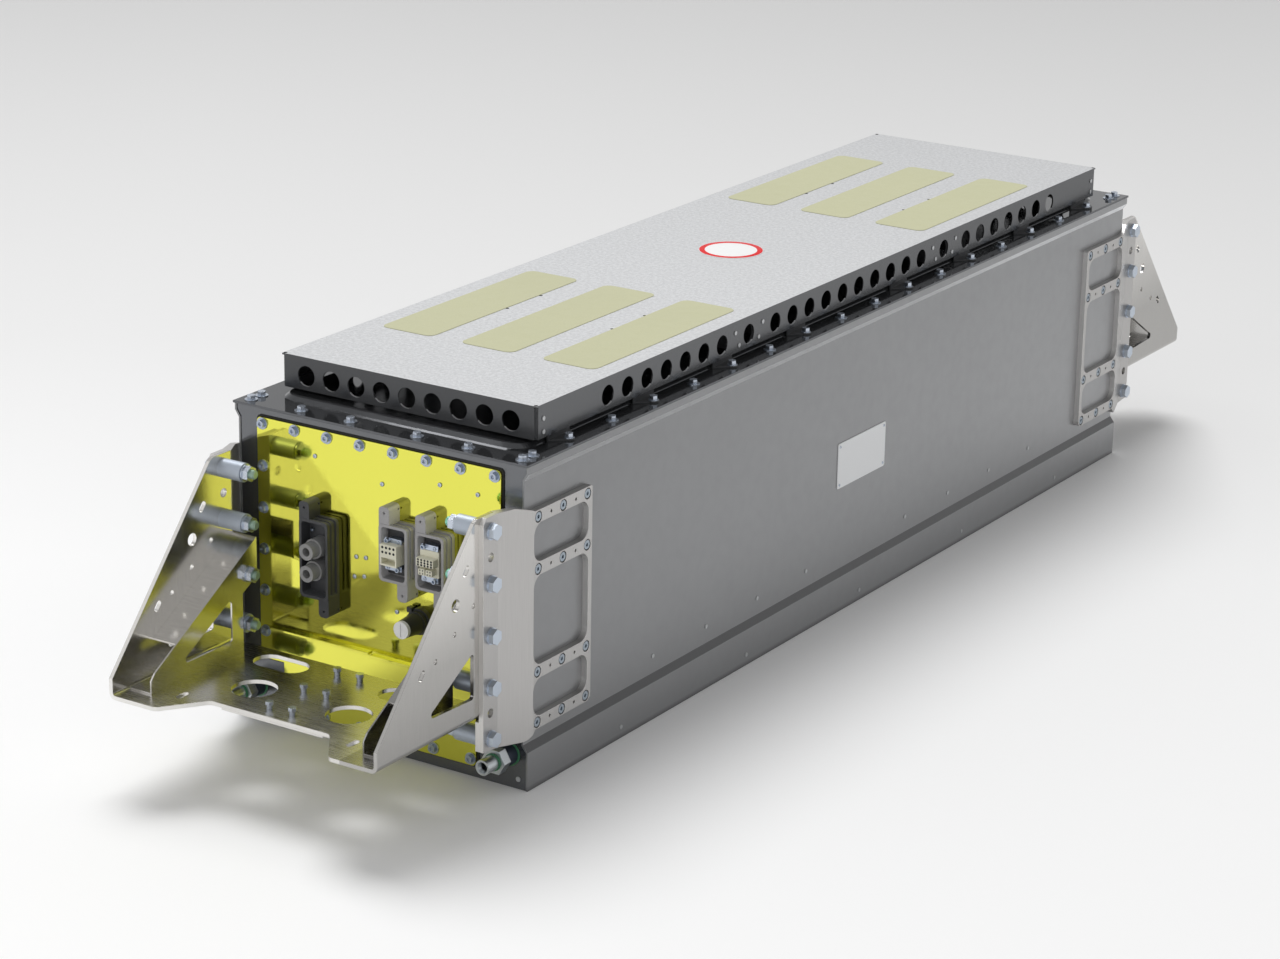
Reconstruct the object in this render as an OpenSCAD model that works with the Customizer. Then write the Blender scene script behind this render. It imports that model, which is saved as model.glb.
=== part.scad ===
// Marine battery storage system: a long sheet-metal battery box with a ventilated cover,
// a yellow connector panel and a bolted mounting cradle at each end.
// Millimetres. X is the width, Y the length, Z up. The connector end faces -Y.
// The origin is at the middle of the underside.

/* [Body] */
// Overall width over the lid
lid_w = 606; // [602:1:612]
// Overall length of the lid
lid_l = 2228; // [2220:2:2240]
// Height of the lid's top face above the underside
lid_top = 570; // [569.5:0.5:572]
// Thickness of the lid sheet
lid_t = 4; // [3:0.5:4]
// Height of the raised middle of the lid
lid_rise = 6.5; // [5:0.5:7]
// Thickness of the side sheets
side_t = 3.5; // [3:0.5:3.5]
// Thickness of the end plates
end_t = 5; // [4:0.5:5]

/* [Cover] */
// Width of the ventilated cover
cover_w = 525; // [524:1:526]
// Length of the ventilated cover
cover_l = 2059; // [2055:1:2062]
// Height of the cover's top face above the underside
cover_top = 640.5; // [640:0.5:644]
// Height of the cover's skirt
skirt_h = 58.5; // [58:0.5:59]
// Thickness of the cover sheet
cover_t = 3; // [2.5:0.5:3]
// Diameter of the ventilation holes
vent_d = 35.5; // [30:0.5:36]
// Spacing of the holes on the short sides
vent_pitch_x = 52.8; // [52:0.2:53]
// Spacing of the holes on the long sides
vent_pitch_y = 60.7; // [60.5:0.1:60.8]

/* [Brackets] */
// Distance of the bolt column from the end face
column_y = 72.5; // [72:0.5:73]
// Spacing of the column bolts
column_pitch = 89.7; // [89.4:0.1:90]
// Diameter of the column bolts
column_bolt_d = 16; // [14:1:18]
// Outside diameter of the spacer tubes
tube_d = 33; // [30:1:33]
// Thickness of the cradle sheet
cradle_t = 7; // [6:0.5:7]
// How far the cradle reaches beyond the end face
cradle_reach = 366; // [360:1:370]
// Height of the shelf's top face
shelf_z = 161; // [160:1:162]
// Spacing of the screw columns on the mounting plate
screw_pitch_y = 71.5; // [71:0.5:72]
// Diameter of the round cable holes in the shelf
cable_hole_d = 78; // [70:1:80]

/* [Connectors] */
// Depth of the power connector housing
power_depth = 31.5; // [30:0.5:33]
// Depth of the signal connector housings
signal_depth = 31; // [30:0.5:33]
// Outside diameter of the coolant spigots
spigot_d = 27; // [25:0.5:28]
// Bore of the coolant spigots
spigot_bore = 13; // [12:0.5:16]

/* [Hidden] */
$fn = 48;

// bars behind the mounting plates, and the width of the bay plate
bar_t = 12;
bar_l = 164;
bar_h = 394;
bar_z = 98;
bay_w = 490;
hl = lid_l / 2;
hw = lid_w / 2;
lid_bot = lid_top - lid_t;
// joggled side sheet: outer faces of the foot band, the main panel and the top band
foot_x = 304;
main_x = 294.5;
top_x = 302.5;
foot_z0 = 69;
foot_z1 = 81;
top_z0 = 541;
top_z1 = 553;
sheet_top = lid_bot - 0.2;
sheet_end = 4.5;
// end plate: distance of its outer face from the end of the lid
end_y = 6;
inner_l = hl - end_y - end_t;
ring_t = 8;
gasket_t = 3;
ring_z = lid_bot - gasket_t - ring_t;
ring_w = 41;
pan_t = 4;
pan_flange = 60;
rivet_d = 8;
// lid bolts
lid_bolt_x = 279.5;
lid_bolt_y = 20.5;
lid_bolt_y2 = 48.5;
side_pitch = 128;
side_count = 16;
tab_ids = [0, 2, 4, 6, 9, 11, 13, 15];
bolt_d = 8;
bolt_hole = 9;
washer_t = 1.6;
tab_t = 3;
plateau_x = 256;
plateau_y = 56;
plateau_slope = 6;
// cover
chw = cover_w / 2;
chl = cover_l / 2;
skirt_z = cover_top - skirt_h;
vent_z = 607.5;
far_vent0 = 455;
special_y = 364.8;
pad_t = 0.8;
pad_w = 110;
pad_l = 460;
pad_x = 169;
pad_y = 574;
// connector panel
panel_w = 503;
panel_z0 = 22;
panel_z1 = 551;
panel_t = 4;
panel_gap = 2;
notch_x = 202;
notch_z = 116;
top_bolt_x = [for (i = [0:7]) -239.8 + i * 68.5];
side_bolt_z = [for (i = [1:5]) 540.5 - i * 74.7];
foot_bolt_x = [for (i = [0:5]) -192 + i * 76.8];
power_x = -110;
power_z = 332;
power_w = 60;
power_h = 140;
contact_dz = 19.5;
sleeve_len = 43.5;
sleeve_bore = 30;
function contact_z(s) = power_z + s * contact_dz;
signal_x = [55.7, 130.3];
signal_z = 375.5;
insert_len = 36;
signal_w = 58;
signal_h = 100;
ear_w = 21;
ear_up = 30;
wall = 5;
back = 8;
plug_x = 91.5;
plug_z = 258.5;
fitting_x = 265.7;
fitting_z = 60;
// brackets
column_z0 = 476.2;
column_z = [for (i = [0:4]) column_z0 - i * column_pitch];
plate_x = 305.6;
column_x = 283.5;
plate_in = 267.5;
column_y0 = 93;
column_y1 = 53;
bend_y = 18;
plate_y1 = 187;
row_z = [476, 386, 206, 116.5];
col_y = [for (i = [0:2]) 30 + i * screw_pitch_y];
cradle_x = plate_in + cradle_t;
shelf_bot = shelf_z - cradle_t;
tube_in = 220;
web_t = 3;
web_in = tube_in - web_t;
nut_h = 11;
head_h = 10;
collar_h = 7;
shelf_bolt_x = 23.5;
shelf_bolt_y = [81, 171, 261];
under_t = 6;
// battery
mod_w = 265;
mod_l = 190;
mod_h = 230;
mod_pitch = 198;
mod_y0 = -895;
mod_n = 10;
cold_t = 12;
cold_w = 544;
level_z = [pan_t, 280];
hoop_y = [-901, -540, -180, 180, 540, 904];

module rrect(w, h, r) {
    square([w, h - 2 * r], center = true);
    square([w - 2 * r, h], center = true);
    for (sx = [-1, 1], sy = [-1, 1])
        translate([sx * (w / 2 - r), sy * (h / 2 - r)]) circle(r = r);
}

module stadium(l, w) {
    square([l - w, w], center = true);
    for (s = [-1, 1])
        translate([s * (l - w) / 2, 0]) circle(d = w);
}

// a flat shape drawn in X and Z, standing from y backwards to -Y by t
module upright(x, y, z, t) {
    translate([x, y, z]) rotate([90, 0, 0]) linear_extrude(t) children();
}

// a round bar from y towards -Y
module rod(x, y, z, d, l) {
    translate([x, y, z]) rotate([90, 0, 0]) cylinder(d = d, h = l);
}

// a round bar from x towards +X
module xrod(x, y, z, d, l) {
    translate([x, y, z]) rotate([0, 90, 0]) cylinder(d = d, h = l);
}

// a flat shape drawn in Y and Z, standing from x towards +X by t
module sidewall(x, t) {
    translate([x, 0, 0]) rotate([90, 0, 90]) linear_extrude(t) children();
}

module flip(x, y) {
    mirror([x ? 1 : 0, 0, 0]) mirror([0, y ? 1 : 0, 0]) children();
}

module four() {
    for (x = [false, true], y = [false, true]) flip(x, y) children();
}

module both_ends() {
    for (y = [false, true]) flip(false, y) children();
}

module both_sides() {
    for (x = [false, true]) flip(x, false) children();
}

module lid_bolt_spots() {
    four() {
        translate([lid_bolt_x, lid_bolt_y - hl, 0]) children();
        translate([lid_bolt_x, lid_bolt_y2 - hl, 0]) children();
        translate([172, lid_bolt_y - hl, 0]) children();
        translate([68.5, lid_bolt_y - hl, 0]) children();
    }
    both_sides()
        for (i = [0:side_count - 1])
            if (len(search(i, tab_ids)) == 0)
                translate([lid_bolt_x, (i - (side_count - 1) / 2) * side_pitch, 0]) children();
}

module tab_bolt_spots() {
    both_sides()
        for (i = tab_ids)
            translate([lid_bolt_x, (i - (side_count - 1) / 2) * side_pitch, 0]) children();
}

module hex_bolt(d, af, head, len) {
    cylinder(d = af * 2 / sqrt(3), h = head, $fn = 6);
    translate([0, 0, -len]) cylinder(d = d, h = len + 0.5);
}

// body

module floor_pan() {
    color("dimgray") difference() {
        translate([-foot_x + side_t, -inner_l, 0]) cube([2 * (foot_x - side_t), 2 * inner_l, pan_flange]);
        translate([-foot_x + side_t + pan_t, -inner_l - 1, pan_t])
            cube([2 * (foot_x - side_t - pan_t), 2 * inner_l + 2, pan_flange]);
    }
}

module sheet_profile() {
    polygon([[foot_x, 0], [foot_x, foot_z0], [main_x, foot_z1], [main_x, top_z0], [top_x, top_z1],
        [top_x, sheet_top], [top_x - side_t, sheet_top], [top_x - side_t, top_z1 + 1.5],
        [main_x - side_t, top_z0 + 1.5], [main_x - side_t, foot_z1 - 1.5],
        [foot_x - side_t, foot_z0 - 1.5], [foot_x - side_t, 0]]);
}

module side_panel() {
    difference() {
        translate([0, hl - sheet_end, 0]) rotate([90, 0, 0])
            linear_extrude(lid_l - 2 * sheet_end) sheet_profile();
        both_ends() screw_spots() xrod(main_x - side_t - 1, 0, 0, 11, side_t + 2);
    }
}

module side_panel_right() {
    color("lightslategray") side_panel();
}

module side_panel_left() {
    color("lightslategray") flip(true, false) side_panel();
}

module end_profile() {
    e = 0.2;
    for (s = [-1, 1])
        polygon([[0, 0], [s * (foot_x - side_t - e), 0], [s * (foot_x - side_t - e), foot_z0 - 1.6],
            [s * (main_x - side_t - e), foot_z1 - 1.6], [s * (main_x - side_t - e), top_z0 + 1.6],
            [s * (top_x - side_t - e), top_z1 + 1.6], [s * (top_x - side_t - e), sheet_top], [0, sheet_top]]);
}

module front_end_plate() {
    color("dimgray") difference() {
        upright(0, -inner_l, 0, end_t) end_profile();
        upright(25, 1 - inner_l, 350, end_t + 2) rrect(340, 240, 20);
        panel_bolt_spots() rod(0, 1 - inner_l, 0, bolt_d + 0.6, end_t + 2);
        both_sides() rod(fitting_x, 1 - inner_l, fitting_z, 20.6, end_t + 2);
        rod(plug_x, 1 - inner_l, plug_z, 22, end_t + 2);
    }
}

module rear_end_plate() {
    color("dimgray") flip(false, true) {
        upright(0, -inner_l, 0, end_t) end_profile();
        upright(0, -inner_l - end_t, 290, 2) rrect(440, 440, 14);
    }
}

module ring(z, t, w, hole) {
    ox = top_x - side_t;
    translate([0, 0, z]) difference() {
        linear_extrude(t) difference() {
            square([2 * ox, 2 * inner_l], center = true);
            square([2 * (ox - w), 2 * (inner_l - w - 4)], center = true);
        }
        lid_bolt_spots() translate([0, 0, -1]) cylinder(d = hole, h = t + 2);
        tab_bolt_spots() translate([0, 0, -1]) cylinder(d = hole, h = t + 2);
    }
}

module top_frame() {
    color("darkslategray") ring(ring_z, ring_t, ring_w, bolt_d + 0.6);
}

module lid_gasket() {
    color("black") ring(ring_z + ring_t, gasket_t, ring_w - 6, bolt_hole + 1);
}

module plateau(dx, z) {
    r = 40;
    hull() {
        translate([0, 0, z]) linear_extrude(0.01)
            rrect32(2 * (plateau_x - dx), 2 * (hl - plateau_y - dx), r);
        translate([0, 0, z + lid_rise - 0.01]) linear_extrude(0.01)
            rrect32(2 * (plateau_x - plateau_slope - dx), 2 * (hl - plateau_y - plateau_slope - dx), r);
    }
}

module rrect32(w, h, r) {
    square([w, h - 2 * r], center = true);
    square([w - 2 * r, h], center = true);
    for (sx = [-1, 1], sy = [-1, 1])
        translate([sx * (w / 2 - r), sy * (h / 2 - r)]) circle(r = r, $fn = 32);
}

module lid() {
    color("darkslategray") difference() {
        union() {
            translate([-hw, -hl, lid_bot]) cube([lid_w, lid_l, lid_t]);
            plateau(0, lid_top);
        }
        plateau(4, lid_top - lid_t);
        lid_bolt_spots() translate([0, 0, lid_bot - 1]) cylinder(d = bolt_hole, h = lid_t + 2);
        tab_bolt_spots() translate([0, 0, lid_bot - 1]) cylinder(d = bolt_hole, h = lid_t + 2);
    }
}

module washer(d, hole, t) {
    difference() {
        cylinder(d = d, h = t);
        translate([0, 0, -1]) cylinder(d = hole, h = t + 2);
    }
}

module lid_washers() {
    color("lightsteelblue") {
        translate([0, 0, lid_top]) lid_bolt_spots() washer(23, bolt_hole, washer_t);
        translate([0, 0, lid_top + tab_t]) tab_bolt_spots() washer(18, bolt_hole, washer_t);
    }
}

module lid_bolts() {
    z = lid_top + washer_t;
    l = z - ring_z;
    color("lightsteelblue") {
        translate([0, 0, z]) lid_bolt_spots() hex_bolt(bolt_d, 13, 7, l);
        translate([0, 0, z + tab_t]) tab_bolt_spots() hex_bolt(bolt_d, 13, 7, l + tab_t);
    }
}

// cover

module vents_x() {
    for (i = [-4:4]) translate([i * vent_pitch_x, 0, 0]) children();
}

module vents_y() {
    for (s = [-1, 1]) {
        for (i = [0:4]) translate([0, s * (0.5 + i) * vent_pitch_y, 0]) children();
        for (i = [0:6]) translate([0, s * (far_vent0 + i * vent_pitch_y), 0]) children();
        translate([0, s * special_y, 0]) children();
    }
}

module cover() {
    gap = 5;
    color("gainsboro") {
        difference() {
            translate([-chw, -chl, skirt_z]) cube([cover_w, cover_l, skirt_h]);
            translate([-chw + cover_t, -chl + cover_t, skirt_z - 1])
                cube([cover_w - 2 * cover_t, cover_l - 2 * cover_t, skirt_h + 1 - cover_t]);
            vents_x() rod(0, chl + 1, vent_z, vent_d, cover_l + 2);
            vents_y() xrod(-chw - 1, 0, vent_z, vent_d, cover_w + 2);
            four() {
                translate([chw - gap, -chl - 1, skirt_z - 1]) cube([gap + 1, gap + 1, skirt_h - cover_t + 1]);
                translate([chw - gap + 1, -chl + gap - 1, cover_top - 6]) cylinder(d = 7, h = 10);
            }
        }
        four() translate([chw - 2 * cover_t, cover_t - chl, skirt_z]) cube([cover_t, 34, skirt_h - cover_t]);
    }
}

module cover_pads() {
    color("darkkhaki") translate([0, 0, cover_top])
        for (x = [-pad_x, 0, pad_x], s = [-1, 1])
            translate([x, s * pad_y, 0]) linear_extrude(pad_t) rrect(pad_w, pad_l, 16);
}

module cover_brackets() {
    h = 18;
    color("darkslategray") tab_bolt_spots() translate([-lid_bolt_x, 0, lid_top]) {
        difference() {
            linear_extrude(tab_t) {
                polygon([[chw - 2 * cover_t, -32], [lid_bolt_x, -10.5], [lid_bolt_x, 10.5],
                    [chw - 2 * cover_t, 32]]);
                translate([lid_bolt_x, 0]) circle(r = 10.5);
            }
            translate([lid_bolt_x, 0, -1]) cylinder(d = bolt_hole, h = tab_t + 2);
        }
        translate([chw - 2 * cover_t, -32, 0]) cube([cover_t, 64, h]);
    }
}

module cover_crossbars() {
    w = 110;
    z0 = skirt_z + 8;
    z1 = cover_top - cover_t;
    x = chw - cover_t;
    color("darkslategray") for (s = [-1, 1]) translate([0, s * special_y, 0]) {
        translate([-x, -w / 2, z1 - 3]) cube([2 * x, w, 3]);
        for (t = [-1, 1]) translate([-x, t * (w / 2 - 1.5) - 1.5, z0]) cube([2 * x, 3, z1 - z0]);
        difference() {
            both_sides() translate([x - 3, -w / 2, z0]) cube([3, w, z1 - z0]);
            xrod(-x - 1, 0, vent_z, vent_d, 2 * x + 2);
        }
    }
}

module rivet_x(x, y, z) {
    xrod(x, y, z, rivet_d, 1.4);
}

module cover_rivets() {
    color("lightsteelblue") both_sides() {
        both_ends() for (z = [593, 616]) rivet_x(chw, 19.5 - chl, z);
        for (s = [-1, 1]) translate([0, s * special_y, 0]) for (t = [-1, 1]) {
            rivet_x(chw, t * 46.5, vent_z + 12);
            rivet_x(chw, t * 33.5, vent_z - 13);
        }
    }
}

module body_rivets() {
    color("silver") {
        both_sides() {
            for (y = [-828, -414, 0, 414, 828]) rivet_x(foot_x, y, 20.5);
            for (s = [-1, 1], y = [190, 365, 540, 715]) rivet_x(main_x, s * y, 113);
        }
        four() rod(284.9, -inner_l - end_t, 17.8, 9, 1.5);
    }
}

// connector end

module panel_bolt_spots() {
    for (x = top_bolt_x) translate([x, 0, 540.5]) children();
    for (z = side_bolt_z, s = [-1, 1]) translate([s * 239.8, 0, z]) children();
    for (x = foot_bolt_x) translate([x, 0, 34.5]) children();
}

module panel_shape(grow) {
    h = panel_z1 - notch_z;
    translate([0, notch_z + h / 2]) rrect(panel_w + 2 * grow, h + 2 * grow, 8);
    translate([0, (panel_z0 + notch_z + 30) / 2])
        rrect(2 * notch_x + 2 * grow, notch_z + 30 - panel_z0 + 2 * grow, 8);
}

module panel_gasket() {
    color("black") difference() {
        upright(0, -inner_l - end_t, 0, panel_gap) panel_shape(3);
        upright(25, 1 - inner_l - end_t, 350, panel_gap + 2) rrect(340, 240, 20);
        panel_bolt_spots() rod(0, 1 - inner_l - end_t, 0, bolt_hole + 1, panel_gap + 2);
        rod(plug_x, 1 - inner_l - end_t, plug_z, 22, panel_gap + 2);
    }
}

module connector_panel() {
    color("khaki") {
        difference() {
            upright(0, panel_t - hl, 0, panel_t) panel_shape(0);
            panel_bolt_spots() rod(0, panel_t + 1 - hl, 0, bolt_hole, panel_t + 2);
            upright(power_x, panel_t + 1 - hl, power_z, panel_t + 2) rrect(46, 120, 8);
            for (x = signal_x) upright(x, panel_t + 1 - hl, signal_z, panel_t + 2) rrect(44, 78, 6);
            rod(plug_x, panel_t + 1 - hl, plug_z, 20.6, panel_t + 2);
        }
        upright(-122, -hl, 176, 6) square([212, 5], center = true);
        upright(105, -hl, 172, 6) square([236, 5], center = true);
    }
}

module panel_washers() {
    color("lightsteelblue") panel_bolt_spots()
        translate([0, -hl, 0]) rotate([90, 0, 0]) washer(21, bolt_hole, washer_t);
}

module panel_bolts() {
    color("lightsteelblue") panel_bolt_spots()
        translate([0, -hl - washer_t, 0]) rotate([90, 0, 0]) rotate([0, 0, 30]) difference() {
            hex_bolt(bolt_d, 13, 6, washer_t + end_y + end_t + 1);
            translate([0, 0, 3.5]) cylinder(d = 7, h = 4, $fn = 6);
        }
}

// housing with one ear up on the left and one down on the right
module housing(w, h, depth) {
    difference() {
        union() {
            upright(0, -hl, 0, 7) rrect(w, h, 8);
            upright(0, -hl - 6, 0, depth - 10) rrect(w - 5, h - 5, 7);
            upright(0, -hl - 13, 0, 6) rrect(w - 2, h - 2, 8);
            upright(0, -hl - depth + 5, 0, 5) rrect(w, h, 8);
            for (s = [-1, 1])
                upright(s * (w - ear_w) / 2, -hl, -s * (h / 2 + ear_up / 2 - 6), depth - 1)
                    rrect(ear_w, ear_up + 12, 7);
        }
        upright(0, -hl - back, 0, depth) rrect(w - 2 * wall, h - 2 * wall, 6);
        for (s = [-1, 1]) {
            rod(s * (w - ear_w) / 2, -hl - depth + 13, -s * (h / 2 + ear_up - 11), 4.4, 20);
            xrod(s * (w - ear_w) / 2 - ear_w, -hl - 4, -s * (h / 2 + ear_up - 9), 4, 2 * ear_w);
            translate([s * w / 2, -hl - 11.5, -s * h / 4]) cube([6, 7, h / 3], center = true);
        }
    }
}

module power_housing() {
    color("dimgray") difference() {
        translate([power_x, 0, power_z]) housing(power_w, power_h, power_depth);
        for (s = [-1, 1]) rod(power_x, 1 - hl, contact_z(s), 24.6, back + 2);
    }
}

module power_contacts() {
    tip = back + sleeve_len;
    color("gray") for (s = [-1, 1]) difference() {
        union() {
            rod(power_x, 6 - hl, contact_z(s), 24, 7 + back);
            rod(power_x, -hl - back, contact_z(s), 35, 24);
            rod(power_x, -hl - back, contact_z(s), 29, sleeve_len);
        }
        rod(power_x, -hl - tip + sleeve_bore, contact_z(s), 15, sleeve_bore + 5);
        rod(power_x, -hl - tip + sleeve_bore + 16, contact_z(s), 12.4, 20);
    }
}

module power_pins() {
    color("goldenrod") for (s = [-1, 1])
        rod(power_x, -hl - back - sleeve_len + sleeve_bore + 16, contact_z(s), 12, 16);
}

module signal_housing_left() {
    color("gray") translate([signal_x[0], 0, signal_z]) housing(signal_w, signal_h, signal_depth);
}

module signal_housing_right() {
    color("gray") translate([signal_x[1], 0, signal_z]) housing(signal_w, signal_h, signal_depth);
}

module signal_insert_left() {
    tip = insert_len;
    color("wheat") translate([signal_x[0], -hl - back, signal_z]) difference() {
        union() {
            upright(0, 0, 2, tip) rrect(34, 37, 2);
            upright(0, 0, 0, 6) square([44, 80], center = true);
        }
        for (i = [0:3], j = [0:1]) rod(-11.4 + 7.6 * i, 14 - tip, 15.5 - 8.5 * j, 3.4, 20);
        upright(0, 16 - tip, -8, 20) square([28, 11], center = true);
    }
}

module signal_insert_right() {
    tip = insert_len;
    color("wheat") translate([signal_x[1], -hl - back, signal_z]) difference() {
        union() {
            upright(0, 0, 0, 22) rrect(38, 46, 2);
            upright(0, 0, 5, tip) square([34, 14], center = true);
            for (s = [-1, 1]) upright(s * 7.5, 0, -12, tip - 1) rrect(13, 11, 2);
            upright(0, 0, 0, 6) square([44, 80], center = true);
        }
        for (i = [-2:2], j = [-1:1]) rod(6.6 * i, 14 - tip, 5 + 4.5 * j, 3, 20);
        for (s = [-1, 1], i = [-1, 1], j = [-1, 1])
            rod(s * 7.5 + 2.8 * i, 16 - tip, -12 + 2.6 * j, 2.6, 20);
    }
}

module pressure_plug() {
    color("black") {
        rod(plug_x, 8 - hl, plug_z, 20, 10);
        rod(plug_x, -hl, plug_z, 46, 9);
        rod(plug_x, -hl - 8, plug_z, 40, 10);
        translate([plug_x, -hl - 17, plug_z]) rotate([90, 0, 0]) cylinder(d1 = 37, d2 = 31, h = 34);
        translate([plug_x - 16, -hl - 8, plug_z + 19]) cube([10, 10, 9], center = true);
    }
}

module pressure_plug_cap() {
    color("white") difference() {
        rod(plug_x, -hl - 51, plug_z, 30, 7);
        upright(plug_x, -hl - 56, plug_z, 4) square([3, 22], center = true);
    }
}

module fitting_sleeves() {
    color("darkslateblue") both_sides() difference() {
        rod(fitting_x, -inner_l - end_t - 2, fitting_z, 38, 26);
        rod(fitting_x, -inner_l - end_t, fitting_z, 20.6, 30);
    }
}

module coolant_fittings() {
    y = -inner_l - end_t - 28;
    color("silver") both_sides() difference() {
        union() {
            rod(fitting_x, -inner_l + 10, fitting_z, 20, 46);
            translate([fitting_x, y, fitting_z]) rotate([90, 0, 0])
                cylinder(d = 41 * 2 / sqrt(3), h = 18, $fn = 6);
            rod(fitting_x, y, fitting_z, 24, 30);
            rod(fitting_x, y - 21, fitting_z, spigot_d, 28);
        }
        rod(fitting_x, 20 - inner_l, fitting_z, spigot_bore, 200);
        translate([fitting_x, y - 42, fitting_z]) rotate([90, 0, 0]) cylinder(d1 = spigot_bore, d2 = 20, h = 7.01);
    }
}

module fitting_seals() {
    y = -inner_l - end_t;
    color("seagreen") both_sides() {
        difference() {
            rod(fitting_x, y, fitting_z, 44, 2);
            rod(fitting_x, y + 1, fitting_z, 20.6, 5);
        }
        difference() {
            rod(fitting_x, y - 46, fitting_z, 31, 3);
            rod(fitting_x, y - 45, fitting_z, 24.6, 6);
        }
    }
}

// brackets, drawn for the front right corner

module screw_spots() {
    for (y = col_y, z = row_z) translate([0, y - hl, z]) children();
}

module mount_plate() {
    t = plate_x - main_x;
    difference() {
        intersection() {
            translate([0, -hl, 0]) linear_extrude(600)
                polygon([[column_x, -column_y0], [column_x, -column_y1], [plate_x, bend_y],
                    [plate_x, plate_y1], [main_x, plate_y1], [main_x, 2], [plate_in, -50],
                    [plate_in, -column_y0]]);
            translate([0, -hl, 0]) sidewall(200, 200)
                polygon([[-column_y0, 98], [0, 90], [10, 92], [17, 97], [24, 105], [plate_y1 - 12, 105],
                    [plate_y1 - 6, 106.5], [plate_y1 - 1.5, 111], [plate_y1, 117], [plate_y1, 485],
                    [plate_y1 - 3, 488], [bend_y + 2, 488], [bend_y - 4, 491], [-20, 501], [-85, 501],
                    [-column_y0, 490]]);
        }
        translate([plate_in - 1, -hl - column_y0 - 1, shelf_bot - 4])
            cube([cradle_t + 1, column_y0 + 1 - 51.5, 400]);
        for (z = column_z) xrod(200, -hl - column_y, z, column_bolt_d + 2, 200);
        for (z = [431.4, 162]) xrod(200, -hl - column_y, z, 16, 200);
        screw_spots() {
            xrod(main_x - 5, 0, 0, 11, 40);
            xrod(plate_x - 6, 0, 0, 20, 10);
        }
        for (y = [66.5, 138.3], z = row_z) xrod(main_x - 5, y - hl, z, 5.5, 40);
        for (w = [[127, 194], [218, 375], [398, 465.7]])
            translate([0, 97 - hl, (w[0] + w[1]) / 2]) rotate([90, 0, 90]) linear_extrude(400)
                rrect(159, w[1] - w[0], 22);
    }
}

module mount_plate_front_right() {
    color("silver") mount_plate();
}

module mount_plate_front_left() {
    color("silver") flip(true, false) mount_plate();
}

module mount_plate_rear_right() {
    color("silver") flip(false, true) mount_plate();
}

module mount_plate_rear_left() {
    color("silver") flip(true, true) mount_plate();
}

module mount_plate_screws() {
    color("lightsteelblue") four() screw_spots() difference() {
        union() {
            xrod(plate_x - 6, 0, 0, 16, 5.4);
            xrod(plate_x - 25, 0, 0, 10, 20);
        }
        translate([plate_x - 3.5, 0, 0]) rotate([0, 90, 0]) cylinder(d = 7, h = 4, $fn = 6);
    }
}

module backing_bars() {
    color("dimgray") four() difference() {
        translate([main_x - side_t - bar_t, 20 - hl, bar_z]) cube([bar_t, bar_l, bar_h]);
        screw_spots() xrod(200, 0, 0, 10.6, 200);
    }
}

module cradle_plan() {
    offset(r = 14) offset(delta = -14) offset(r = -14) offset(delta = 14)
        polygon([[-300, -52], [-300, -cradle_reach], [-178, -cradle_reach], [-123, -291], [123, -291],
            [178, -cradle_reach], [300, -cradle_reach], [300, -52]]);
}

module cradle() {
    ro = 12;
    ri = ro - cradle_t;
    top = 700;
    difference() {
        intersection() {
            translate([0, -40 - hl, 0]) rotate([90, 0, 0]) linear_extrude(400) difference() {
                union() {
                    translate([-cradle_x, shelf_bot + ro]) square([2 * cradle_x, top]);
                    translate([-cradle_x + ro, shelf_bot]) square([2 * (cradle_x - ro), top]);
                    for (s = [-1, 1]) translate([s * (cradle_x - ro), shelf_bot + ro]) circle(r = ro);
                }
                translate([-plate_in, shelf_z + ri]) square([2 * plate_in, top]);
                translate([-plate_in + ri, shelf_z]) square([2 * (plate_in - ri), top]);
                for (s = [-1, 1]) translate([s * (plate_in - ri), shelf_z + ri]) circle(r = ri);
            }
            translate([0, -hl, 0]) sidewall(-400, 800)
                polygon([[-cradle_reach, 100], [-cradle_reach, 190], [-106.7, 496], [-98, 501],
                    [-52, 501], [-52, 100]]);
            translate([0, -hl, 0]) linear_extrude(700) intersection() {
                cradle_plan();
                translate([-290, -400]) square([580, 348]);
            }
        }
        both_sides() {
            for (i = [0:3]) xrod(200, -hl - column_y, column_z[i], column_bolt_d + 2, 200);
            xrod(200, -hl - column_y, 431.4, 16, 200);
            xrod(200, -hl - 156.5, 372, 22, 200);
            for (p = [[108, 357, 9], [159.5, 324, 9], [211, 294, 9]]) xrod(200, -hl - p[0], p[1], p[2], 200);
            for (p = [[128, 422], [248, 281.5]])
                translate([200, -hl - p[0], p[1]]) rotate([90, 0, 90]) rotate([0, 0, 50])
                    linear_extrude(200) stadium(20, 11);
            translate([200, -hl, 0]) rotate([90, 0, 90]) linear_extrude(200) tri_window([-113, 268], [-217, 206], [-113, 202]);
            translate([98, -hl - 208, 100]) cylinder(d = cable_hole_d, h = 100);
            translate([131, -hl - 96, 100]) linear_extrude(100) stadium(106, 56);
            translate([176, -hl - 299.5, 100]) rotate([0, 0, 90]) linear_extrude(100) stadium(30, 12);
            for (y = shelf_bolt_y) translate([shelf_bolt_x, -hl - y, 100]) cylinder(d = 9, h = 100);
        }
    }
}

module tri_window(a, b, c) {
    hull() for (p = [a, b, c]) translate(p) circle(r = 6, $fn = 32);
}

module cradle_front() {
    color("silver") cradle();
}

module cradle_rear() {
    color("silver") flip(false, true) cradle();
}

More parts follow.
